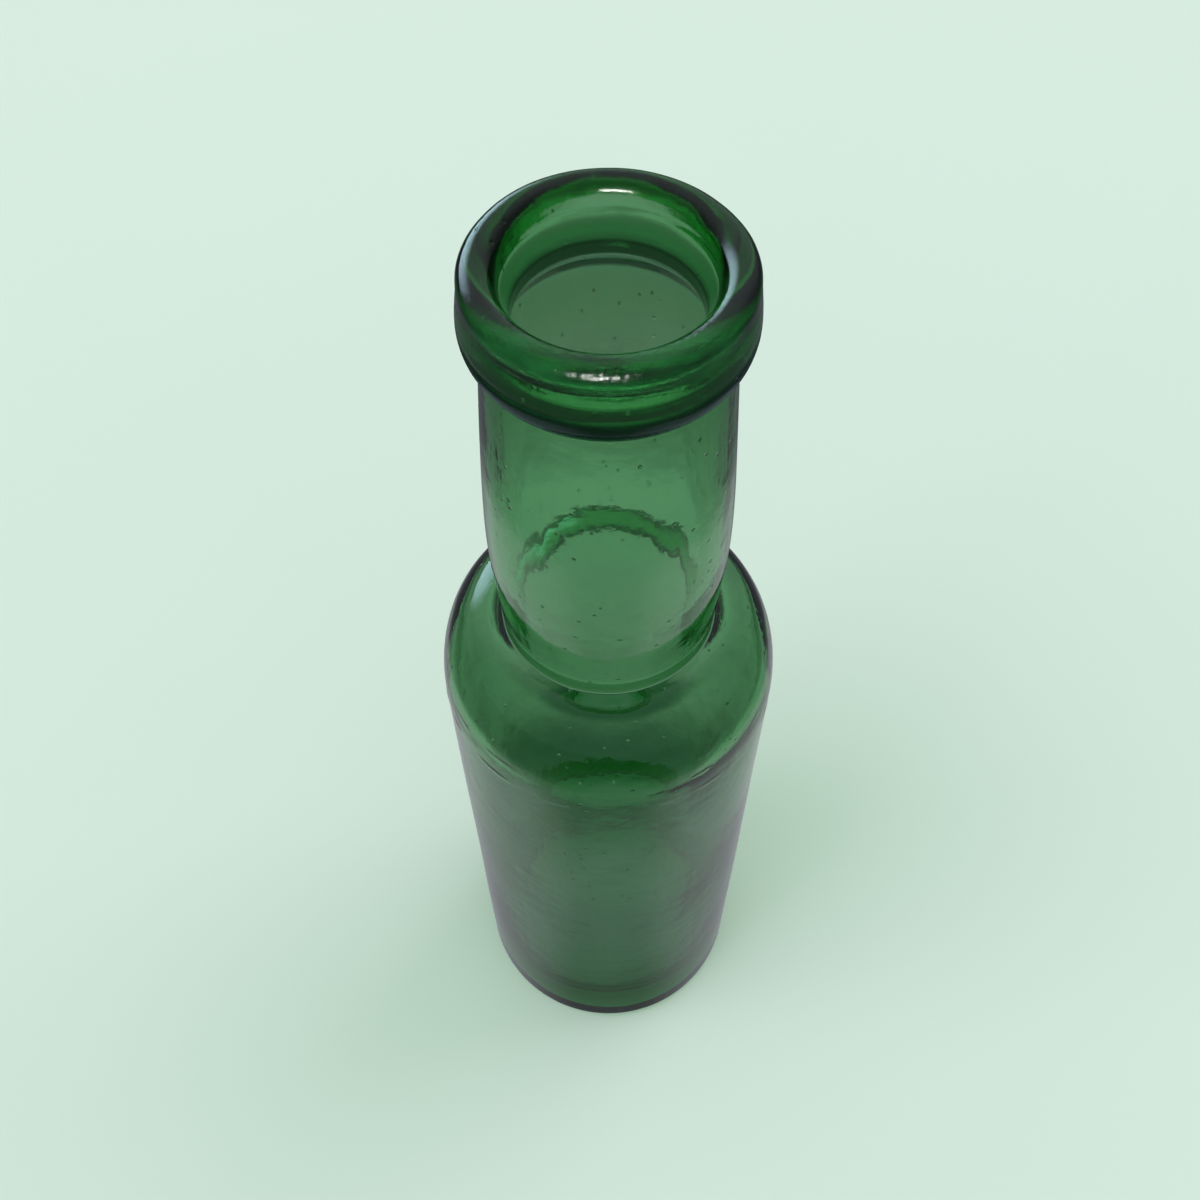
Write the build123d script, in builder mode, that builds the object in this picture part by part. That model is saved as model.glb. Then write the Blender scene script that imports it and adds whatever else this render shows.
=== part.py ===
from build123d import *

import os

# Green glass bottle with an applied lip, in millimetres.
#
# The bottle stands on its base ring at z = 0, on the Z axis. It is made of two pieces of glass:
# the blown body with its neck, and the ring of glass laid hot on the neck's end to form the lip.
# Each piece is one outline in the XZ plane, revolved about Z.

# Overall size
HEIGHT = 228.0
BODY_RADIUS = 31.0

# Base
HEEL_RADIUS = 3.0  # rounding between the resting ring and the side
REST_INNER_RADIUS = 20.5  # inner edge of the flat ring the bottle stands on
PUSH_UP = 5.0  # height of the hollow under the base
FLOOR_CENTRE_Z = 12.5  # inside floor on the axis, over the hollow
FLOOR_TROUGH_RADIUS = 17.5  # lowest ring of the inside floor
FLOOR_TROUGH_Z = 8.5
WALL_FOOT_Z = 24.0  # where the straight inside wall starts

# Body and shoulder
WALL = 3.4
SHOULDER_Z = 130.5  # where the straight side ends
SHOULDER_TOP_Z = 149.8  # the crease between shoulder and neck
INNER_BEND_Z = 151.4  # the inside starts to open out here, a little above the crease
INNER_SHOULDER_RADIUS = 21.5  # one place on the inside of the shoulder, and a second one below it
INNER_SHOULDER_Z = 145.3
INNER_SHOULDER_LOW_RADIUS = 25.2
INNER_SHOULDER_LOW_Z = 141.0

# Neck, which swells a little above the shoulder
NECK_BASE_RADIUS = 18.8
NECK_BELLY_RADIUS = 19.9
NECK_BELLY_Z = 173.0
NECK_TOP_RADIUS = 17.9
NECK_WALL = 3.1

# Lip and mouth
LIP_HEIGHT = 13.3
LIP_RADIUS = 20.3  # widest, low on the lip
LIP_WIDEST_RISE = 4.4  # height of the widest place over the lip's lower edge
LIP_TOP_RADIUS = 19.7  # where the side turns into the crown
MOUTH_RADIUS = 14.7  # at the mouth's edge, where the conical mouth starts
MOUTH_EDGE_DEPTH = 2.0  # the mouth's edge lies this far below the crown
CROWN_INNER_RUN = 2.6  # from the mouth's edge out to the top of the crown
CROWN_OUTER_ROUND = 2.4
THROAT_RADIUS = 13.0  # straight, narrowest part inside, below the conical mouth
THROAT_DEPTH = 8.2  # the throat starts this far below the crown
THROAT_LENGTH = 2.0
UNDERCUT_RADIUS = 15.0  # the inside opens out again to this below the throat
UNDERCUT_DEPTH = 14.4
LIP_UNDERSIDE = 0.5  # flat step under the lip, beside the neck
NECK_END_DEPTH = 3.4  # the neck's end lies this far below the crown
NECK_END_RADIUS = 17.1

lip_base_z = HEIGHT - LIP_HEIGHT
neck_end_z = HEIGHT - NECK_END_DEPTH
mouth_edge_z = HEIGHT - MOUTH_EDGE_DEPTH
throat_top_z = HEIGHT - THROAT_DEPTH
throat_foot_z = throat_top_z - THROAT_LENGTH
mouth_slope = (MOUTH_RADIUS - THROAT_RADIUS) / (mouth_edge_z - throat_top_z)
neck_end_inner_radius = THROAT_RADIUS + mouth_slope * (neck_end_z - throat_top_z)
inner_radius = BODY_RADIUS - WALL
inner_bend_radius = NECK_BASE_RADIUS - NECK_WALL


# ---- Blown body: base, side, shoulder and neck in one wall ----
with BuildPart() as bottle_body:
    with BuildSketch(Plane.XZ) as body_section:
        with BuildLine() as body_outline:
            # Underside: the hollow, the resting ring and the heel
            push_up = TangentArc((0, PUSH_UP), (REST_INNER_RADIUS, 0), tangent=(1, 0))
            rest = Line(push_up @ 1, (BODY_RADIUS - HEEL_RADIUS, 0))
            heel = TangentArc(rest @ 1, (BODY_RADIUS, HEEL_RADIUS), tangent=(1, 0))
            side = Line(heel @ 1, (BODY_RADIUS, SHOULDER_Z))
            # Shoulder: a quarter ellipse that meets the neck in a crease
            EllipticalCenterArc(
                center=(NECK_BASE_RADIUS, SHOULDER_Z),
                x_radius=BODY_RADIUS - NECK_BASE_RADIUS,
                y_radius=SHOULDER_TOP_Z - SHOULDER_Z,
                start_angle=0,
                arc_size=90,
            )
            neck = Spline(
                (NECK_BASE_RADIUS, SHOULDER_TOP_Z),
                (NECK_BELLY_RADIUS, NECK_BELLY_Z),
                (NECK_TOP_RADIUS, lip_base_z),
            )
            # The part of the neck that the lip covers
            neck_seat = Line(neck @ 1, (NECK_END_RADIUS, neck_end_z))
            neck_end = Line(neck_seat @ 1, (neck_end_inner_radius, neck_end_z))
            # Inside, from the mouth down: cone, throat, then open again
            mouth_cone = Line(neck_end @ 1, (THROAT_RADIUS, throat_top_z))
            throat = Line(mouth_cone @ 1, (THROAT_RADIUS, throat_foot_z))
            undercut = Spline(
                throat @ 1,
                (UNDERCUT_RADIUS, HEIGHT - UNDERCUT_DEPTH),
                tangents=[(0.6, -1), (0.1, -1)],
            )
            inner_neck = Spline(
                undercut @ 1,
                (NECK_BELLY_RADIUS - NECK_WALL, NECK_BELLY_Z),
                (inner_bend_radius, INNER_BEND_Z),
                tangents=[(0.1, -1), (0, -1)],
            )
            inner_shoulder = Spline(
                inner_neck @ 1,
                (INNER_SHOULDER_RADIUS, INNER_SHOULDER_Z),
                (INNER_SHOULDER_LOW_RADIUS, INNER_SHOULDER_LOW_Z),
                (inner_radius, SHOULDER_Z),
                tangents=[(0, -1), (0, -1)],
            )
            inner_side = Line(inner_shoulder @ 1, (inner_radius, WALL_FOOT_Z))
            floor = Spline(
                inner_side @ 1,
                (FLOOR_TROUGH_RADIUS, FLOOR_TROUGH_Z),
                (0, FLOOR_CENTRE_Z),
                tangents=[(0, -1), (-1, 0)],
            )
            Line(floor @ 1, (0, PUSH_UP))
        make_face()
    revolve(axis=Axis.Z)

bottle_body.part.label = "bottle_body"
export_step(bottle_body.part, "parts/bottle_body.step")


# ---- Applied lip: a rounded ring that wraps the neck's end ----
with BuildPart() as applied_lip:
    with BuildSketch(Plane.XZ) as lip_section:
        with BuildLine() as lip_outline:
            # Crown, from the mouth outwards
            inner_crown = TangentArc(
                (MOUTH_RADIUS, mouth_edge_z),
                (MOUTH_RADIUS + CROWN_INNER_RUN, HEIGHT),
                tangent=(mouth_slope, 1),
            )
            outer_crown = TangentArc(
                inner_crown @ 1,
                (LIP_TOP_RADIUS, HEIGHT - CROWN_OUTER_ROUND),
                tangent=(1, 0),
            )
            # Side, widest low down, then rolled under to the neck
            lip_side = Spline(
                outer_crown @ 1,
                (LIP_RADIUS, lip_base_z + LIP_WIDEST_RISE),
                (NECK_TOP_RADIUS + LIP_UNDERSIDE, lip_base_z),
                tangents=[(0.1, -1), (0, -1), (-1, 0)],
            )
            underside = Line(lip_side @ 1, (NECK_TOP_RADIUS, lip_base_z))
            # Faces that are fused to the neck
            seat = Line(underside @ 1, (NECK_END_RADIUS, neck_end_z))
            seat_end = Line(seat @ 1, (neck_end_inner_radius, neck_end_z))
            Line(seat_end @ 1, inner_crown @ 0)
        make_face()
    revolve(axis=Axis.Z)

applied_lip.part.label = "applied_lip"
export_step(applied_lip.part, "parts/applied_lip.step")
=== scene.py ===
import math

import bpy
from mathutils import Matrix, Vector, noise


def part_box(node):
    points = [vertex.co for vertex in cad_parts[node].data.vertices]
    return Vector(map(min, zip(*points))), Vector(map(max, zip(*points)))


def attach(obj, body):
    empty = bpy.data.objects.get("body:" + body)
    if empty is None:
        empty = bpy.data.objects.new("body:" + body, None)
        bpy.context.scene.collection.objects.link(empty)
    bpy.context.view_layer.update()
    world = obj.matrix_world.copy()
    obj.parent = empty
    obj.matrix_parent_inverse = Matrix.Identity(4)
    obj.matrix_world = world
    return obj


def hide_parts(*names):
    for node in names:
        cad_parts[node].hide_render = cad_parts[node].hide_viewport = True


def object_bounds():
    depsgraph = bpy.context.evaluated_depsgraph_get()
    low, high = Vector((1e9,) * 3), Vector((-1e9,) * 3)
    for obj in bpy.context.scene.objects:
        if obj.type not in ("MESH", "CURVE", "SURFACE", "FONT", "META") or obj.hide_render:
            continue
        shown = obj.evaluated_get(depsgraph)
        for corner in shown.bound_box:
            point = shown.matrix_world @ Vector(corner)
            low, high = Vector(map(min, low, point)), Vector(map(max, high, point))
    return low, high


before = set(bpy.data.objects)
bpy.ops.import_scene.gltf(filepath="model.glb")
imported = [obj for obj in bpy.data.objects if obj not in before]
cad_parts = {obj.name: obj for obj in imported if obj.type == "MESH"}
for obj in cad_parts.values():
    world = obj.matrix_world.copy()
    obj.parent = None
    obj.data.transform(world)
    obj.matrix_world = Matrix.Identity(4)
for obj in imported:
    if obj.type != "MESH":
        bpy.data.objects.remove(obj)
cad_low, cad_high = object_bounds()

# Looks for the green glass bottle: two closed glass meshes around the CAD frame, a pale floor, soft
# studio light and a camera that looks down into the mouth.
#
# Lengths of the bottle are in millimetres and are turned into metres with MM. The stage's own lengths
# are in metres. A layer of waves is a depth, its detail round the bottle, its length along it and a
# seed. A ramp's stop is a place and a colour.
MM = 0.001

# Levels and a radius that the frame gives. The other sizes of the bottle repeat the CAD's.
body_low, body_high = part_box("bottle_body")
lip_low, lip_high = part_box("applied_lip")
HEIGHT = lip_high.z / MM
NECK_END_Z = body_high.z / MM
LIP_BASE_Z = lip_low.z / MM
BODY_RADIUS = body_high.x / MM

# Base
HEEL = 3.0
REST_INNER = 20.5
PUSH_UP = 5.0
FLOOR_CENTRE_Z = 12.5
FLOOR_TROUGH_RADIUS = 17.5
FLOOR_TROUGH_Z = 8.5
WALL_FOOT_Z = 24.0

# Body and shoulder
WALL = 3.4
SHOULDER_Z = 130.5
CREASE_Z = 149.8
CREASE_ROUND = 0.3
INNER_BEND_Z = 151.3  # the inside starts to open out here, a little above the crease
INNER_SHOULDER = 18.8  # centre and radii of the ellipse that the inside follows below the bend
INNER_SHOULDER_ACROSS = 8.8
INNER_SHOULDER_UP = 15.2
INNER_SHOULDER_START = 72.1  # degrees up from level, where the bend runs into the ellipse

# Neck
NECK_BASE = 18.8
NECK_BELLY = 19.9
NECK_BELLY_Z = 173.0
NECK_TOP = 17.9
NECK_END = 17.1
NECK_WALL = 3.1

# Lip and mouth
MOUTH = 14.7
MOUTH_EDGE_DEPTH = 2.0  # from the crown down to where the conical mouth starts
THROAT = 13.0
THROAT_TOP_DEPTH = 8.2
THROAT_FOOT_DEPTH = 10.2
UNDERCUT = 15.0
UNDERCUT_DEPTH = 14.4
LIP_TOP = 19.7
LIP_WIDEST = 20.3
LIP_WIDEST_RISE = 4.4
INNER_CROWN = 2.6
OUTER_CROWN = 2.4
UNDERSIDE = 0.5
FUSED_GAP = 0.02  # between the faces where lip and neck are fused

# Mesh
SEGMENTS = 256
ON_AXIS = 1e-6  # a point nearer to the axis than this becomes one vertex
SHARP_TURN = 50.0  # an edge that turns by more degrees than this is sharp
SEAM_BAND_Z = 124.0  # above this the side has closer rows, to carry the seam

NOISE_GAIN = 1.6  # brings the noise to about -1 to 1

# Unevenness of the blown wall, outside and inside. It fades out at the lip and near the base.
OUTER_WAVES = ((0.10, 1.2, 40, 3.1), (0.02, 3.0, 14, 8.4))
INNER_BODY_WAVES = ((0.24, 1.2, 40, 12.6), (0.06, 3.0, 22, 15.9))
INNER_NECK_WAVES = ((0.13, 1.1, 60, 13.4), (0.035, 5.0, 90, 17.2))
BODY_WAVES_Z = 138.0  # up to here the inside has the body's waves, and then the neck's take over
NECK_BLEND = 14.0
STILL_CORE = 1.0  # nothing this close to the axis is pushed about
STILL_BASE_Z = 1.0
BASE_FADE = 6.0
LIP_BASE_FADE = 4.0
THROAT_FADE = 8.0

# The shoulder's crease rises and falls
CREASE_LIFT = ((0.22, 2.2, 1, 9.2),)
CREASE_LIFT_WIDTH = 3.0

# The far half of the shoulder's wall is thinner: its inside stands higher round this radius
THIN_LIFT = 3.0
THIN_RADIUS = 25.2
THIN_WIDTH = 3.0
THIN_FADE = 4.0
FAR_SLOPE = 1.2  # how fast the lift comes in from the near half to the far half

# Fragments of the mould's seam, strongest at the sides
SEAM_Z = 129.3
SEAM_DEPTH = 0.35
SEAM_WIDTH = 0.45
SEAM_LEVEL = ((0.5, 2.0, 1, 5.7),)
SEAM_BREAKS = ((1.0, 5.0, 1, 1.3),)
SEAM_SHOWN = 0.25  # a higher value leaves fewer breaks in it

# The lip's slow wobble, which fades out at the mouth and at the lip's foot
LIP_WAVES = ((0.10, 1.4, 20, 21.4), (0.03, 4.0, 5, 23.8))
MOUTH_FADE = 3.0
LIP_FOOT_FADE = 2.0

# Grooves left by the lip tool: height over the lip's lower edge, depth, half width
TOOL_MARKS = ((5.6, 0.13, 0.35), (7.4, 0.06, 0.3), (9.6, 0.16, 0.45), (10.7, 0.08, 0.3))
TOOL_TILT = 0.45
TOOL_TURN = 1.1
TOOL_DRIFT = ((0.25, 1.5, 1, 26.1),)
TOOL_PRESSURE = ((1.0, 1.6, 3, 28.7),)
TOOL_USUAL = 0.6
TOOL_LEAST = 0.15
TOOL_BEHIND = 0.12  # share of the depth that is left at the back of the lip

# Glass
GLASS_COLOUR = (0.05, 0.77, 0.22, 1)
GLASS_DENSITY = 200.0
GLASS_INDEX = 1.52
CLEAR_TINT = (0.97, 1.0, 0.98, 1)
SHADOW_TINT = (0.86, 0.90, 0.87, 1)
OPEN_TINT = (1.0, 1.0, 1.0, 1)
WAVE_RELIEF = 0.060  # depths of the surface's relief
CORD_RELIEF = 0.030
CORD_STRETCH = (1.0, 1.0, 0.05)  # draws the cords out along the bottle
PIT_RELIEF = 0.080
PIT_CORE = 0.03  # distances from a pit's middle, in the pits' own scale, to its floor's edge
PIT_EDGE = 0.10  # and to its rim
GRAIN_RELIEF = 0.006
HAZE = 0.06
HAZE_FROM = 0.35
HAZE_FULL = 0.75

# The lip's crown gets worn and matt between these heights. At the front it also gets green patches:
# partly matt scuffs, partly painted glow of light carried in the glass
WORN_FROM = 221.0
WORN_FULL = 226.0
WORN_ROUGHNESS = 0.13
WORN_GRAIN = 0.010
FRONT_FROM = -6.0  # along Y, from where the front's own wear starts to where it is full
FRONT_FULL = -15.0
FRONT_GRAIN = 0.12
# The front's green patches: a diffuse green that is partly scuffing and partly painted glow
SCUFF_AND_GLOW = (0.045, 0.55, 0.12, 1)
SCUFF_AND_GLOW_LEAST = 0.02
SCUFF_AND_GLOW_MOST = 0.13
SCUFF_AND_GLOW_FROM = 0.35
SCUFF_AND_GLOW_FULL = 0.68
SCUFF_AND_GLOW_STRETCH = (0.5, 0.5, 2.5)  # draws the patches out round the lip

# Painted shade on the lip's rolled foot: it is darkened for the camera only, between these heights
FOOT_SHADE_FULL = 219.3
FOOT_SHADE_NONE = 220.6
FOOT_SHADE_TINT = (0.30, 0.38, 0.42, 1)

# Floor. The ramps run outwards from the bottle's axis. They paint the light and shade that the glass sees
# on the floor: a painted shadow close round the foot, a painted lit band beyond it, and mostly dark
# further out.
FLOOR_HALF = 6.0
FLOOR_DROP = 0.05  # below the bottle's base, in millimetres
FLOOR_PALE_LOW = (0.690, 0.812, 0.742, 1)
FLOOR_PALE_HIGH = (0.700, 0.824, 0.752, 1)
TABLE_REACH = 2000.0  # distance that the ramps of painted light and shade span, in millimetres
FRONT_SHARE = 0.25  # sideways share of the distance where the front's ramp starts to give way
SIDE_SHARE = 0.85
# Seen through the glass: a painted shadow round the foot, a painted lit band, then dark
TABLE_SHADE_AND_LIGHT_THROUGH = (
    (0.0000, (0.20, 0.19, 0.22, 1)),
    (0.0150, (0.20, 0.19, 0.22, 1)),
    (0.0210, (0.07, 0.085, 0.09, 1)),
    (0.0260, (0.08, 0.09, 0.10, 1)),
    (0.0380, (0.38, 0.31, 0.36, 1)),
    (0.0740, (0.38, 0.38, 0.38, 1)),
    (0.0810, (0.27, 0.28, 0.27, 1)),
    (0.0920, (0.16, 0.18, 0.16, 1)),
    (0.1170, (0.11, 0.17, 0.12, 1)),
    (0.1400, (0.10, 0.17, 0.12, 1)),
    (0.1800, (0.03, 0.04, 0.035, 1)),
    (0.5500, (0.03, 0.04, 0.035, 1)),
    (0.8000, (0.16, 0.19, 0.18, 1)),
)
# Mirrored by the glass, at the front and at the sides: painted shade near the foot and a painted lit band
TABLE_SHADE_AND_LIGHT_MIRRORED_FRONT = (
    (0.000, (0.14, 0.14, 0.16, 1)),
    (0.019, (0.15, 0.15, 0.17, 1)),
    (0.034, (0.29, 0.28, 0.33, 1)),
    (0.046, (0.17, 0.17, 0.21, 1)),
    (0.090, (0.12, 0.12, 0.14, 1)),
    (0.300, (0.06, 0.07, 0.08, 1)),
)
TABLE_SHADE_AND_LIGHT_MIRRORED_SIDE = (
    (0.000, (0.24, 0.24, 0.26, 1)),
    (0.018, (0.34, 0.35, 0.38, 1)),
    (0.034, (0.46, 0.48, 0.50, 1)),
    (0.082, (0.50, 0.52, 0.54, 1)),
    (0.092, (0.18, 0.19, 0.21, 1)),
    (0.120, (0.12, 0.13, 0.15, 1)),
    (0.400, (0.06, 0.07, 0.08, 1)),
)

# World. A glow fades from its core to its edge, both in degrees from its middle.
PALE = (0.665, 0.831, 0.730, 1)
WHITE = (1, 1, 1, 1)
WHITE_LIGHT = 0.62
ROOM_COLOUR = (0.10, 0.12, 0.13, 1)
SKY_AIM = (-0.1, 0.75, 0.6)
SKY_CORE = 15.0
SKY_EDGE = 75.0
SKY_COLOUR = (0.50, 0.56, 0.60, 1)
WINDOW_AIM = (-0.55, 0.81, 0.19)
WINDOW_CORE = 3.0
WINDOW_EDGE = 29.0
WINDOW_COLOUR = (0.64, 0.88, 1.05, 1)
WINDOW_LIGHT = 5.0

# Lamps, in metres and watts
SOFT_LEFT = (-1.3, -0.6, 2.2)
SOFT_LEFT_COLOUR = (0.98, 1.0, 1.0)
SOFT_RIGHT = (1.3, 0.8, 2.2)
SOFT_RIGHT_COLOUR = (1.0, 1.0, 0.98)
SOFT_SIZE = (1.6, 1.6)
SOFT_POWER = 22.0
RIM_LAMP = (-0.12, -0.97, 0.70)
RIM_LAMP_COLOUR = (1.0, 0.97, 0.94)
RIM_LAMP_SIZE = (0.45, 0.18)
RIM_LAMP_POWER = 9.0

# Camera: its distances back from the axis and up from the crown are in body radii
CAMERA_BACK = 4.048
CAMERA_UP = 3.615
CAMERA_DOWN = 56.55  # degrees below level
LENS = 38.6  # focal length and sensor width are in millimetres
SENSOR = 36.0
LENS_SHIFT = -0.007
NEAR_CLIP = 0.01

# How often light may pass through glass or bounce off it
GLASS_BOUNCES = 24
MIRROR_BOUNCES = 12


# ---------------------------------------------------------------- outline helpers
def line(start, end, steps):
    """Points from start towards end, without end."""
    return [
        (start[0] + (end[0] - start[0]) * i / steps, start[1] + (end[1] - start[1]) * i / steps)
        for i in range(steps)
    ]


def arc(centre, radii, start, end, steps):
    """Points on an elliptical arc from start to end degrees, without the last."""
    points = []
    for i in range(steps):
        angle = math.radians(start + (end - start) * i / steps)
        points.append((centre[0] + radii[0] * math.cos(angle), centre[1] + radii[1] * math.sin(angle)))
    return points


def curve(start, leave, end, arrive, steps):
    """Points on a cubic from start to end, without the last.

    Leave and arrive are its directions at both ends, and a longer one is held for longer.
    """
    points = []
    for i in range(steps):
        t = i / steps
        weighted = (
            (2 * t**3 - 3 * t**2 + 1, start),
            (t**3 - 2 * t**2 + t, leave),
            (3 * t**2 - 2 * t**3, end),
            (t**3 - t**2, arrive),
        )
        points.append(tuple(sum(weight * place[k] for weight, place in weighted) for k in (0, 1)))
    return points


def tagged(points, surface):
    """The points with the kind of surface that starts at each: outer, inner or fused."""
    return [(r, z, surface) for r, z in points]


def mouth_radius(z):
    """Radius of the conical mouth at a height."""
    throat_top = HEIGHT - THROAT_TOP_DEPTH
    share = (z - throat_top) / (HEIGHT - MOUTH_EDGE_DEPTH - throat_top)
    return THROAT + (MOUTH - THROAT) * share


# ---------------------------------------------------------------- the two outlines
def body_outside():
    """The blown body's outside in millimetres, from the axis below the base up to the lip's foot."""
    dome = REST_INNER**2 / (2 * PUSH_UP) + PUSH_UP / 2
    dome_half = math.degrees(math.asin(REST_INNER / dome))
    crease_top = (NECK_BASE, CREASE_Z + CREASE_ROUND)
    belly = (NECK_BELLY, NECK_BELLY_Z)
    belly_rise = NECK_BELLY_Z - CREASE_Z
    upper_rise = LIP_BASE_Z - NECK_BELLY_Z
    leave_crease = (0.6, belly_rise)
    reach_lip = (-2.0, upper_rise)

    under = arc((0, PUSH_UP - dome), (dome, dome), 90, 90 - dome_half, steps=14)
    rest = line((REST_INNER, 0), (BODY_RADIUS - HEEL, 0), steps=6)
    heel = arc((BODY_RADIUS - HEEL, HEEL), (HEEL, HEEL), -90, 0, steps=10)
    side = line((BODY_RADIUS, HEEL), (BODY_RADIUS, SEAM_BAND_Z), steps=44)
    seam_band = line((BODY_RADIUS, SEAM_BAND_Z), (BODY_RADIUS, SHOULDER_Z), steps=16)
    shoulder = arc(
        (NECK_BASE + CREASE_ROUND, SHOULDER_Z),
        (BODY_RADIUS - NECK_BASE - CREASE_ROUND, CREASE_Z - SHOULDER_Z),
        0,
        90,
        steps=30,
    )
    crease_centre = (NECK_BASE + CREASE_ROUND, CREASE_Z + CREASE_ROUND)
    crease = arc(crease_centre, (CREASE_ROUND, CREASE_ROUND), 270, 180, steps=6)
    lower_neck = curve(crease_top, leave_crease, belly, (0, belly_rise), steps=20)
    upper_neck = curve(belly, (0, upper_rise), (NECK_TOP, LIP_BASE_Z), reach_lip, steps=28)
    return under + rest + heel + side + seam_band + shoulder + crease + lower_neck + upper_neck


def body_inside():
    """The blown body's inside in millimetres, from the neck's end down to the axis."""
    mouth_foot = (mouth_radius(NECK_END_Z), NECK_END_Z)
    throat_top = (THROAT, HEIGHT - THROAT_TOP_DEPTH)
    throat_foot = (THROAT, HEIGHT - THROAT_FOOT_DEPTH)
    undercut = (UNDERCUT, HEIGHT - UNDERCUT_DEPTH)
    belly = (NECK_BELLY - NECK_WALL, NECK_BELLY_Z)
    bend = (NECK_BASE - NECK_WALL, INNER_BEND_Z)
    inner = BODY_RADIUS - WALL
    trough = (FLOOR_TROUGH_RADIUS, FLOOR_TROUGH_Z)
    start = math.radians(INNER_SHOULDER_START)
    bend_end = (
        INNER_SHOULDER + INNER_SHOULDER_ACROSS * math.cos(start),
        SHOULDER_Z + INNER_SHOULDER_UP * math.sin(start),
    )
    leave_throat = (1.6, -2.6)
    reach_undercut = (1.2, -7.0)
    leave_undercut = (2.0, -30)
    reach_belly = (0, -30)
    leave_belly = (0, -20)
    reach_bend = (-0.3, -20)
    leave_bend = (0.1, -1.5)
    reach_shoulder = (8.0, -4.6)
    leave_side = (0, -22)
    inwards = (-14, 0)

    mouth_cone = line(mouth_foot, throat_top, steps=8)
    throat = line(throat_top, throat_foot, steps=6)
    opening = curve(throat_foot, leave_throat, undercut, reach_undercut, steps=14)
    neck_upper = curve(undercut, leave_undercut, belly, reach_belly, steps=24)
    neck_lower = curve(belly, leave_belly, bend, reach_bend, steps=18)
    crease = curve(bend, leave_bend, bend_end, reach_shoulder, steps=26)
    shoulder = arc(
        (INNER_SHOULDER, SHOULDER_Z),
        (INNER_SHOULDER_ACROSS, INNER_SHOULDER_UP),
        INNER_SHOULDER_START,
        0,
        steps=26,
    )
    side = line((inner, SHOULDER_Z), (inner, WALL_FOOT_Z), steps=36)
    corner = curve((inner, WALL_FOOT_Z), leave_side, trough, inwards, steps=20)
    floor = curve(trough, inwards, (0, FLOOR_CENTRE_Z), inwards, steps=18)
    bore = mouth_cone + throat + opening
    return bore + neck_upper + neck_lower + crease + shoulder + side + corner + floor


def body_outline():
    """The blown body's outline, from the axis below the base round to the axis inside."""
    seat = line((NECK_TOP, LIP_BASE_Z), (NECK_END, NECK_END_Z), steps=10)
    end = line((NECK_END, NECK_END_Z), (mouth_radius(NECK_END_Z), NECK_END_Z), steps=4)
    outline = tagged(body_outside(), "outer") + tagged(seat + end, "fused")
    outline += tagged(body_inside(), "inner")
    outline.append((0.0, FLOOR_CENTRE_Z, "inner"))
    return outline


def lip_outline():
    """The applied lip's outline in millimetres, a closed loop from the mouth's edge outwards."""
    mouth_edge = (MOUTH, HEIGHT - MOUTH_EDGE_DEPTH)
    widest = (LIP_WIDEST, LIP_BASE_Z + LIP_WIDEST_RISE)
    side_fall = HEIGHT - OUTER_CROWN - widest[1]
    foot = (NECK_TOP + UNDERSIDE, LIP_BASE_Z)
    seat_foot = (NECK_TOP + FUSED_GAP, LIP_BASE_Z)
    seat_top = (NECK_END + FUSED_GAP, NECK_END_Z + FUSED_GAP)
    bore_foot = (mouth_radius(NECK_END_Z + FUSED_GAP), NECK_END_Z + FUSED_GAP)
    cone = (MOUTH - THROAT) / (THROAT_TOP_DEPTH - MOUTH_EDGE_DEPTH)
    leave_edge = (cone * MOUTH_EDGE_DEPTH * 1.6, MOUTH_EDGE_DEPTH * 1.6)
    reach_crown = (INNER_CROWN * 1.5, 0)
    leave_top = (0.3, -side_fall)
    leave_widest = (0, -LIP_WIDEST_RISE * 1.7)
    reach_foot = (-UNDERSIDE * 2, 0)

    inner_crown = curve(mouth_edge, leave_edge, (MOUTH + INNER_CROWN, HEIGHT), reach_crown, steps=14)
    crown_centre = (LIP_TOP - OUTER_CROWN, HEIGHT - OUTER_CROWN)
    outer_crown = arc(crown_centre, (OUTER_CROWN, OUTER_CROWN), 90, 0, steps=14)
    side = curve((LIP_TOP, HEIGHT - OUTER_CROWN), leave_top, widest, (0, -side_fall), steps=18)
    roll = curve(widest, leave_widest, foot, reach_foot, steps=16)
    under = line(foot, seat_foot, steps=3)
    seat = line(seat_foot, seat_top, steps=10)
    end = line(seat_top, bore_foot, steps=4)
    bore = line(bore_foot, mouth_edge, steps=3)
    return (
        tagged(inner_crown + outer_crown + side + roll + under, "outer")
        + tagged(seat + end, "fused")
        + tagged(bore, "inner")
    )


# ---------------------------------------------------------------- hand-made unevenness
def waves(angle, z, layers):
    """The sum of layers of smooth noise on a round wall, each about its depth high."""
    total = 0.0
    for depth, across, along, seed in layers:
        place = Vector((math.cos(angle) * across, math.sin(angle) * across, z / along + seed))
        total += depth * (noise.noise(place) * NOISE_GAIN)
    return total


def ridge(distance, half_width):
    """1 on a line and 0 away from it."""
    return math.exp(-((distance / half_width) ** 2))


def fade(distance, length):
    """0 up to a place and 1 from a length beyond it."""
    return min(1.0, max(0.0, distance / length))


def seam(z, angle):
    """Height of the broken mould seam at a place on the side."""
    level = z - SEAM_Z - waves(angle, 0, SEAM_LEVEL)
    broken = max(0.0, waves(angle, 0, SEAM_BREAKS) + SEAM_SHOWN)
    return SEAM_DEPTH * ridge(level, SEAM_WIDTH) * broken * abs(math.cos(angle)) ** 2


def outer_offset(z, angle):
    """How far the body's outside stands off its outline, and how far it is lifted, in millimetres."""
    push = waves(angle, z, OUTER_WAVES) + seam(z, angle)
    lift = ridge(z - CREASE_Z, CREASE_LIFT_WIDTH) * waves(angle, 0, CREASE_LIFT)
    share = fade(abs(z - LIP_BASE_Z), LIP_BASE_FADE) * fade(z - STILL_BASE_Z, BASE_FADE)
    return push * share, lift


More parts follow.
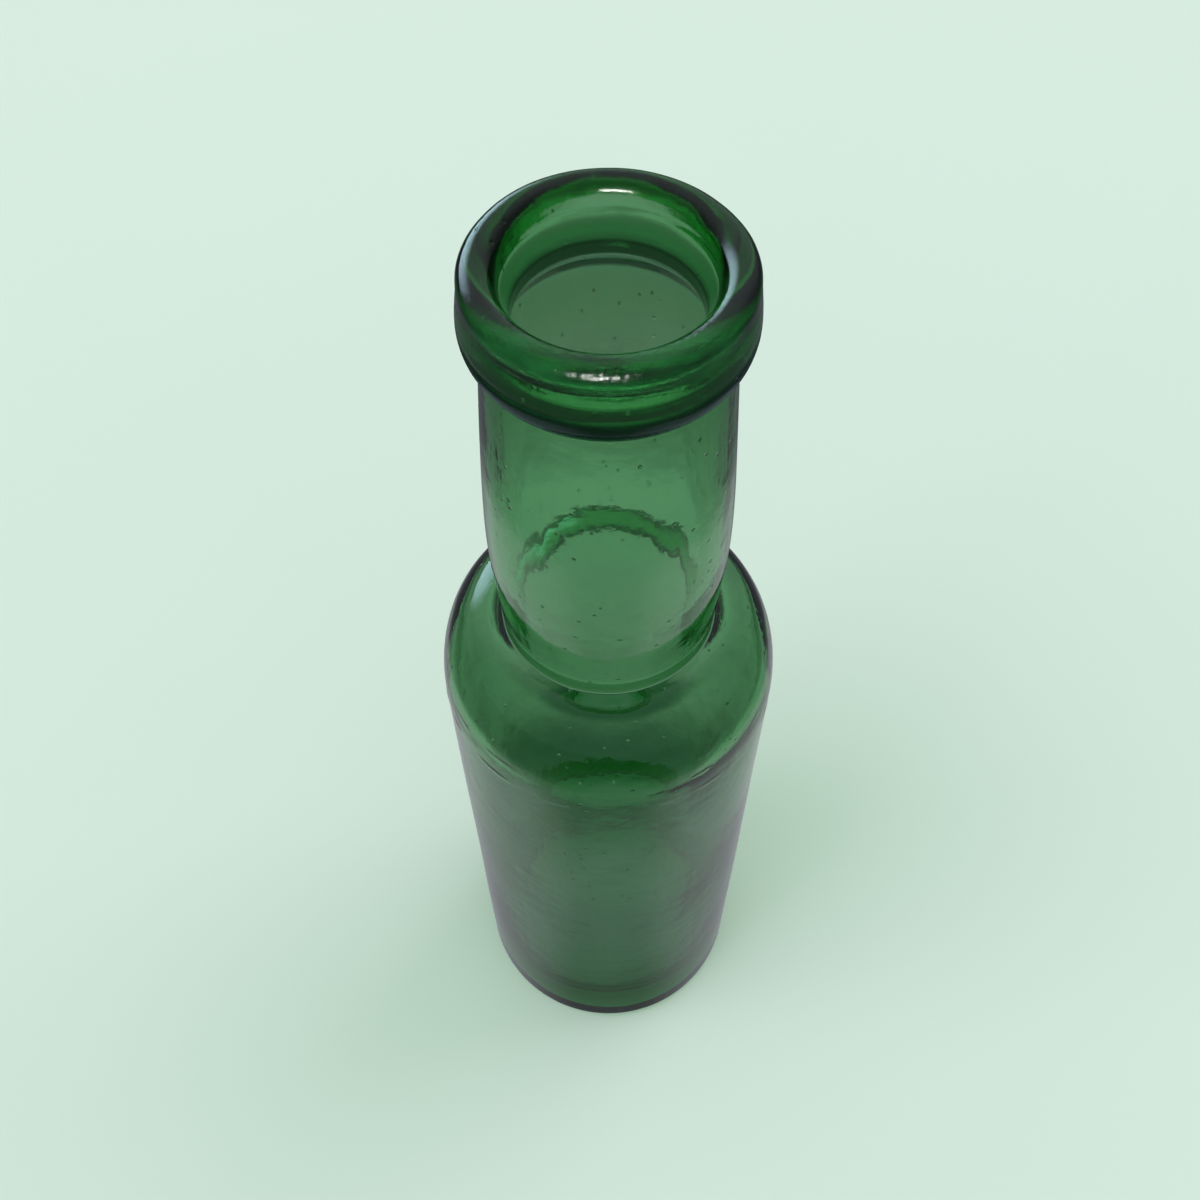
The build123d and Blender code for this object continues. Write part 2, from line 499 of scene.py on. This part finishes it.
def inner_offset(r, z, angle):
    """The same for the body's inside."""
    in_neck = fade(z - BODY_WAVES_Z, NECK_BLEND)
    push = waves(angle, z, INNER_BODY_WAVES) * (1 - in_neck) + waves(angle, z, INNER_NECK_WAVES) * in_neck
    in_shoulder = fade(z - SHOULDER_Z, THIN_FADE) * fade(INNER_BEND_Z - z, THIN_FADE)
    far_half = min(1.0, max(0.0, 0.5 + FAR_SLOPE * math.sin(angle)))
    lift = THIN_LIFT * ridge(r - THIN_RADIUS, THIN_WIDTH) * in_shoulder * far_half
    share = fade(HEIGHT - THROAT_TOP_DEPTH - z, THROAT_FADE)
    return push * share, lift


def body_offset(r, z, surface, angle):
    """How far the blown wall is pushed out and lifted at a place. Fused faces stay where they are."""
    if surface == "fused" or r < STILL_CORE:
        return 0.0, 0.0
    if surface == "outer":
        return outer_offset(z, angle)
    return inner_offset(r, z, angle)


def lip_offset(r, z, surface, angle):
    """How far the lip's outside is pushed out by its slow wobble and its tool marks."""
    if surface != "outer":
        return 0.0, 0.0
    rise = z - LIP_BASE_Z
    share = fade(r - MOUTH, MOUTH_FADE) * fade(rise, LIP_FOOT_FADE)
    push = waves(angle, z, LIP_WAVES)
    track = rise - TOOL_TILT * math.sin(angle + TOOL_TURN) + waves(angle, 0, TOOL_DRIFT)
    front = 0.5 - 0.5 * math.sin(angle)  # 1 at the front and 0 at the back
    for level, depth, half_width in TOOL_MARKS:
        pressure = max(TOOL_LEAST, TOOL_USUAL + waves(angle, level, TOOL_PRESSURE))
        shown = TOOL_BEHIND + (1 - TOOL_BEHIND) * front**2
        push -= depth * ridge(track - level, half_width) * pressure * shown
    return push * share, 0.0


# ---------------------------------------------------------------- turning an outline into a mesh
def lathe(name, outline, offset, closed_loop):
    """A closed mesh turned from an outline, with its wall pushed about by offset."""
    angles = [2 * math.pi * i / SEGMENTS for i in range(SEGMENTS)]
    verts = []
    rows = []
    for r, z, surface in outline:
        if r < ON_AXIS:
            rows.append([len(verts)])
            verts.append((0.0, 0.0, z * MM))
            continue
        row = []
        for angle in angles:
            push, lift = offset(r, z, surface, angle)
            radius = (r + push) * MM
            row.append(len(verts))
            verts.append((radius * math.cos(angle), radius * math.sin(angle), (z + lift) * MM))
        rows.append(row)
    count = len(rows)
    faces = []
    fused = []
    for i in range(count if closed_loop else count - 1):
        low, high = rows[i], rows[(i + 1) % count]
        is_fused = outline[i][2] == "fused"
        for j in range(SEGMENTS):
            k = (j + 1) % SEGMENTS
            if len(low) == 1:
                faces.append((low[0], high[k], high[j]))
            elif len(high) == 1:
                faces.append((low[j], low[k], high[0]))
            else:
                faces.append((low[j], low[k], high[k], high[j]))
            if closed_loop:
                faces[-1] = faces[-1][::-1]
            fused.append(1.0 if is_fused else 0.0)
    mesh = bpy.data.meshes.new(name)
    mesh.from_pydata(verts, [], faces)
    mesh.validate()
    mark = mesh.attributes.new("fused", "FLOAT", "FACE")
    mark.data.foreach_set("value", fused)
    mesh.polygons.foreach_set("use_smooth", [True] * len(mesh.polygons))
    mesh.update()
    mark_sharp(mesh)
    piece = bpy.data.objects.new(name, mesh)
    bpy.context.scene.collection.objects.link(piece)
    return piece


def mark_sharp(mesh):
    """Marks the edges between fused and free faces, and those that turn by more than SHARP_TURN."""
    edge_faces = {}
    for polygon in mesh.polygons:
        for key in polygon.edge_keys:
            edge_faces.setdefault(key, []).append(polygon.index)
    fused = [item.value for item in mesh.attributes["fused"].data]
    sharp = []
    for edge in mesh.edges:
        near = edge_faces.get(tuple(sorted(edge.vertices)), [])
        is_sharp = False
        if len(near) == 2:
            first, second = near
            turn = mesh.polygons[first].normal.angle(mesh.polygons[second].normal, 0.0)
            is_sharp = fused[first] != fused[second] or turn > math.radians(SHARP_TURN)
        sharp.append(is_sharp)
    attribute = mesh.attributes.new("sharp_edge", "BOOLEAN", "EDGE")
    attribute.data.foreach_set("value", sharp)


# ---------------------------------------------------------------- node trees
class Nodes:
    """A node tree, with short ways to add and join nodes."""

    def __init__(self, tree):
        self.tree = tree
        tree.nodes.clear()

    def add(self, kind, inputs=(), **settings):
        """A new node. An input is a value, or another node's output to join it to."""
        node = self.tree.nodes.new(kind)
        for name, value in settings.items():
            setattr(node, name, value)
        for name, value in dict(inputs).items():
            if isinstance(value, bpy.types.NodeSocket):
                self.tree.links.new(value, node.inputs[name])
            else:
                node.inputs[name].default_value = value
        return node

    def calculate(self, operation, *values):
        return self.add("ShaderNodeMath", enumerate(values), operation=operation).outputs[0]

    def vector(self, operation, *values):
        return self.add("ShaderNodeVectorMath", enumerate(values), operation=operation)

    def noise_texture(self, place, scale, detail, roughness=0.5):
        inputs = {"Vector": place, "Scale": scale, "Detail": detail, "Roughness": roughness}
        return self.add("ShaderNodeTexNoise", inputs).outputs["Fac"]

    def spread(self, value, none_at, full_at, least=0.0, most=1.0, slope="SMOOTHSTEP"):
        """Least where the value is none_at, most where it is full_at, and a slope between them."""
        inputs = {
            "Value": value,
            "From Min": none_at,
            "From Max": full_at,
            "To Min": least,
            "To Max": most,
        }
        return self.add("ShaderNodeMapRange", inputs, interpolation_type=slope).outputs["Result"]

    def mix_colour(self, share, first, second):
        inputs = {"Factor": share, "A": first, "B": second}
        return self.add("ShaderNodeMix", inputs, data_type="RGBA").outputs["Result"]

    def mix_shader(self, share, first, second):
        return self.add("ShaderNodeMixShader", {0: share, 1: first, 2: second}).outputs[0]

    def shader(self, kind, inputs):
        return self.add(kind, inputs).outputs[0]

    def background(self, colour, strength=1.0):
        return self.shader("ShaderNodeBackground", {"Color": colour, "Strength": strength})

    def ramp(self, value, stops):
        """A colour ramp through the stops, each a place and a colour."""
        node = self.add("ShaderNodeValToRGB", {"Fac": value})
        elements = node.color_ramp.elements
        while len(elements) > 1:
            elements.remove(elements[-1])
        elements[0].position, elements[0].color = stops[0]
        for place, colour in stops[1:]:
            elements.new(place).color = colour
        return node.outputs["Color"]

    def relief(self, parts):
        """The sum of parts, each a value from 0 to 1 and its depth in millimetres."""
        total = 0.0
        for value, depth in parts:
            total = self.calculate("MULTIPLY_ADD", value, depth, total)
        return total


# ---------------------------------------------------------------- materials
def glass_material(name, wear_and_shade):
    """Green bottle glass: a clear surface, with light taken off inside by depth.

    It is open where pieces are fused. The last argument is 1 for the lip, whose crown is worn and matt
    and whose foot gets painted shade for the camera, and 0 for the body.
    """
    material = bpy.data.materials.new(name)
    material.use_nodes = True
    n = Nodes(material.node_tree)
    place = n.add("ShaderNodeNewGeometry").outputs["Position"]
    along = n.add("ShaderNodeSeparateXYZ", {0: place})
    height = along.outputs["Z"]
    light_path = n.add("ShaderNodeLightPath")

    # Where the lip is worn, how much of that is at its front, and the painted shade on its foot, which
    # only the camera sees
    crown = n.spread(height, WORN_FROM * MM, WORN_FULL * MM, most=wear_and_shade)
    front = n.spread(along.outputs["Y"], FRONT_FROM * MM, FRONT_FULL * MM)
    worn_front = n.calculate("MULTIPLY", crown, front)
    foot = n.spread(height, FOOT_SHADE_NONE * MM, FOOT_SHADE_FULL * MM, most=wear_and_shade)
    painted_foot_shade = n.calculate("MULTIPLY", foot, light_path.outputs["Is Camera Ray"])

    # Relief: slow waves, upright cords, scattered pits, and fine grain that is deeper where worn
    slow = n.noise_texture(place, scale=190.0, detail=2.0)
    upright = n.vector("MULTIPLY", place, CORD_STRETCH).outputs[0]
    cords = n.noise_texture(upright, scale=420.0, detail=2.0)
    grain = n.noise_texture(place, scale=1500.0, detail=2.0, roughness=0.6)
    cells = n.add("ShaderNodeTexVoronoi", {"Vector": place, "Scale": 260.0})
    pit = n.spread(cells.outputs["Distance"], PIT_CORE, PIT_EDGE)
    front_grain = n.calculate("MULTIPLY", worn_front, FRONT_GRAIN)
    worn_grain = n.calculate("MULTIPLY_ADD", crown, WORN_GRAIN, front_grain)
    relief = n.relief(
        (
            (slow, WAVE_RELIEF),
            (cords, CORD_RELIEF),
            (pit, PIT_RELIEF),
            (grain, GRAIN_RELIEF),
            (grain, worn_grain),
        )
    )
    bump = n.add("ShaderNodeBump", {"Height": relief, "Strength": 1.0, "Distance": MM}).outputs[0]

    # Haze: hardly any on the walls, more on the worn crown
    haze = n.spread(slow, HAZE_FROM, HAZE_FULL, most=HAZE, slope="LINEAR")
    rough = n.calculate("MULTIPLY_ADD", crown, WORN_ROUGHNESS, haze)
    # Painted shade: the glass's colour is darkened on the lip's foot for camera rays
    tint_with_foot_shade = n.mix_colour(painted_foot_shade, CLEAR_TINT, FOOT_SHADE_TINT)
    glass = n.shader(
        "ShaderNodeBsdfGlass",
        {"Color": tint_with_foot_shade, "Roughness": rough, "IOR": GLASS_INDEX, "Normal": bump},
    )

    # Green patches at the front of the crown: matt scuffs whose diffuse green is partly painted glow of
    # light carried in the glass
    scuff_and_glow = n.shader("ShaderNodeBsdfDiffuse", {"Color": SCUFF_AND_GLOW, "Normal": bump})
    flattened = n.vector("MULTIPLY", place, SCUFF_AND_GLOW_STRETCH).outputs[0]
    patches = n.noise_texture(flattened, scale=160.0, detail=3.0, roughness=0.6)
    patch_share = n.spread(
        patches, SCUFF_AND_GLOW_FROM, SCUFF_AND_GLOW_FULL, least=SCUFF_AND_GLOW_LEAST, most=SCUFF_AND_GLOW_MOST, slope="LINEAR"
    )
    scuff_and_glow_share = n.calculate("MULTIPLY", worn_front, patch_share)
    skin = n.mix_shader(scuff_and_glow_share, glass, scuff_and_glow)

    # Light reaches the floor through the glass, and fused faces aren't seen
    shade = n.shader("ShaderNodeBsdfTransparent", {"Color": SHADOW_TINT})
    lit = n.mix_shader(light_path.outputs["Is Shadow Ray"], skin, shade)
    fused = n.add("ShaderNodeAttribute", attribute_name="fused").outputs["Fac"]
    open_face = n.shader("ShaderNodeBsdfTransparent", {"Color": OPEN_TINT})
    surface = n.mix_shader(fused, lit, open_face)
    inside = n.shader(
        "ShaderNodeVolumeAbsorption", {"Color": GLASS_COLOUR, "Density": GLASS_DENSITY}
    )
    n.add("ShaderNodeOutputMaterial", {"Surface": surface, "Volume": inside})
    return material


def floor_material():
    """A pale matt floor, which the glass sees as a glowing grey top with painted light and shade.

    The painted top is dark close round the bottle as a painted shadow, lit in a painted band beyond that,
    and dark again far from it.
    """
    material = bpy.data.materials.new("floor_paint")
    material.use_nodes = True
    n = Nodes(material.node_tree)
    light_path = n.add("ShaderNodeLightPath")
    place = n.add("ShaderNodeNewGeometry").outputs["Position"]
    distance = n.vector("LENGTH", place).outputs["Value"]
    reach = n.calculate("DIVIDE", distance, TABLE_REACH * MM)
    across = n.add("ShaderNodeSeparateXYZ", {0: place}).outputs["X"]
    sideways = n.calculate("ABSOLUTE", n.calculate("DIVIDE", across, distance))
    side_share = n.spread(sideways, FRONT_SHARE, SIDE_SHARE)

    # Painted light and shade, shown as a glow to rays off or through the glass: a painted shadow round
    # the foot and a painted lit band beyond it
    mirrored_front_shade_and_light = n.ramp(reach, TABLE_SHADE_AND_LIGHT_MIRRORED_FRONT)
    mirrored_side_shade_and_light = n.ramp(reach, TABLE_SHADE_AND_LIGHT_MIRRORED_SIDE)
    mirrored = n.mix_colour(side_share, mirrored_front_shade_and_light, mirrored_side_shade_and_light)
    seen_through_shade_and_light = n.ramp(reach, TABLE_SHADE_AND_LIGHT_THROUGH)
    table_shade_and_light = n.mix_colour(light_path.outputs["Is Transmission Ray"], mirrored, seen_through_shade_and_light)
    mottle = n.noise_texture(place, scale=9.0, detail=3.0)
    pale = n.mix_colour(mottle, FLOOR_PALE_LOW, FLOOR_PALE_HIGH)
    matt = n.shader("ShaderNodeBsdfDiffuse", {"Color": pale, "Roughness": 1.0})
    shown = n.shader("ShaderNodeEmission", {"Color": table_shade_and_light, "Strength": 1.0})
    surface = n.mix_shader(by_glass(n, light_path), matt, shown)
    n.add("ShaderNodeOutputMaterial", {"Surface": surface})
    return material


def by_glass(n, light_path):
    """1 for rays that have come off or through glass."""
    return n.calculate(
        "MAXIMUM", light_path.outputs["Is Glossy Ray"], light_path.outputs["Is Transmission Ray"]
    )


# ---------------------------------------------------------------- pieces
def add_piece(name, node, slot, outline, offset, closed_loop, wear_and_shade):
    """A glass mesh that stands for a CAD node."""
    piece = lathe(name, outline, offset, closed_loop)
    piece.data.materials.append(glass_material(slot, wear_and_shade))
    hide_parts(node)
    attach(piece, "root")
    return piece


# ---------------------------------------------------------------- stage, light and camera
def add_floor():
    corners = [(-FLOOR_HALF, -FLOOR_HALF, 0), (FLOOR_HALF, -FLOOR_HALF, 0)]
    corners += [(FLOOR_HALF, FLOOR_HALF, 0), (-FLOOR_HALF, FLOOR_HALF, 0)]
    mesh = bpy.data.meshes.new("floor")
    mesh.from_pydata(corners, [], [(0, 1, 2, 3)])
    mesh.materials.append(floor_material())
    floor = bpy.data.objects.new("floor", mesh)
    floor.location.z = cad_low.z - FLOOR_DROP * MM
    bpy.context.scene.collection.objects.link(floor)


def add_lamp(name, position, size, power, colour):
    """A rectangular lamp that faces the mouth. The glass neither mirrors it nor shows it."""
    data = bpy.data.lights.new(name, "AREA")
    data.shape = "RECTANGLE"
    data.size, data.size_y = size
    data.energy = power
    data.color = colour
    lamp = bpy.data.objects.new(name, data)
    lamp.location = position
    lamp.rotation_mode = "QUATERNION"
    mouth = Vector((0, 0, HEIGHT * MM))
    lamp.rotation_quaternion = (mouth - Vector(position)).to_track_quat("-Z", "Y")
    lamp.visible_glossy = False
    lamp.visible_transmission = False
    bpy.context.scene.collection.objects.link(lamp)
    return lamp


def add_rim_lamp(lip):
    """A small lamp in front that only the lip's surface mirrors."""
    lamp = add_lamp("rim_lamp", RIM_LAMP, RIM_LAMP_SIZE, RIM_LAMP_POWER, RIM_LAMP_COLOUR)
    lamp.visible_glossy = True
    only_lip = bpy.data.collections.new("lit_by_rim_lamp")
    only_lip.objects.link(lip)
    lamp.light_linking.receiver_collection = only_lip


def glow(n, direction, aim, core, edge):
    """1 inside a round patch of the sky about the aim, falling smoothly to 0 at its edge."""
    facing = n.vector("DOT_PRODUCT", direction, tuple(Vector(aim).normalized())).outputs["Value"]
    return n.spread(facing, math.cos(math.radians(edge)), math.cos(math.radians(core)))


def add_world():
    """Pale all round for the camera, white for lighting the floor, and a dim room for the glass.

    The glass mirrors a soft window at the back on the left, and a wide glow above it.
    """
    world = bpy.data.worlds.new("studio")
    world.use_nodes = True
    bpy.context.scene.world = world
    n = Nodes(world.node_tree)
    light_path = n.add("ShaderNodeLightPath")
    direction = n.add("ShaderNodeTexCoord").outputs["Generated"]
    sky = glow(n, direction, SKY_AIM, SKY_CORE, SKY_EDGE)
    window = glow(n, direction, WINDOW_AIM, WINDOW_CORE, WINDOW_EDGE)
    dim = n.background(ROOM_COLOUR)
    with_sky = n.mix_shader(sky, dim, n.background(SKY_COLOUR))
    mirrored = n.mix_shader(window, with_sky, n.background(WINDOW_COLOUR, WINDOW_LIGHT))
    room = n.mix_shader(light_path.outputs["Is Transmission Ray"], mirrored, dim)
    white = n.background(WHITE, WHITE_LIGHT)
    open_air = n.mix_shader(light_path.outputs["Is Camera Ray"], white, n.background(PALE))
    surface = n.mix_shader(by_glass(n, light_path), open_air, room)
    n.add("ShaderNodeOutputWorld", {"Surface": surface})


def add_camera():
    """Looks down past the near side of the lip, close above the bottle."""
    data = bpy.data.cameras.new("camera")
    data.sensor_width = SENSOR
    data.lens = LENS
    data.shift_x = LENS_SHIFT
    data.clip_start = NEAR_CLIP
    camera = bpy.data.objects.new("camera", data)
    up = (HEIGHT + CAMERA_UP * BODY_RADIUS) * MM
    camera.location = (0, -CAMERA_BACK * BODY_RADIUS * MM, up)
    camera.rotation_euler = (math.radians(90 - CAMERA_DOWN), 0, 0)
    bpy.context.scene.collection.objects.link(camera)
    bpy.context.scene.camera = camera


add_piece(
    "bottle_glass",
    "bottle_body",
    "body_glass",
    body_outline(),
    body_offset,
    closed_loop=False,
    wear_and_shade=0.0,
)
lip_glass = add_piece(
    "lip_glass",
    "applied_lip",
    "lip_glass",
    lip_outline(),
    lip_offset,
    closed_loop=True,
    wear_and_shade=1.0,
)

add_floor()
add_lamp("soft_left", SOFT_LEFT, SOFT_SIZE, SOFT_POWER, SOFT_LEFT_COLOUR)
add_lamp("soft_right", SOFT_RIGHT, SOFT_SIZE, SOFT_POWER, SOFT_RIGHT_COLOUR)
add_rim_lamp(lip_glass)
add_world()
add_camera()

scene = bpy.context.scene
scene.view_settings.view_transform = "Standard"
scene.cycles.max_bounces = GLASS_BOUNCES
scene.cycles.transmission_bounces = GLASS_BOUNCES
scene.cycles.glossy_bounces = MIRROR_BOUNCES
scene.cycles.transparent_max_bounces = GLASS_BOUNCES
scene.cycles.volume_bounces = 0
scene.cycles.use_denoising = True
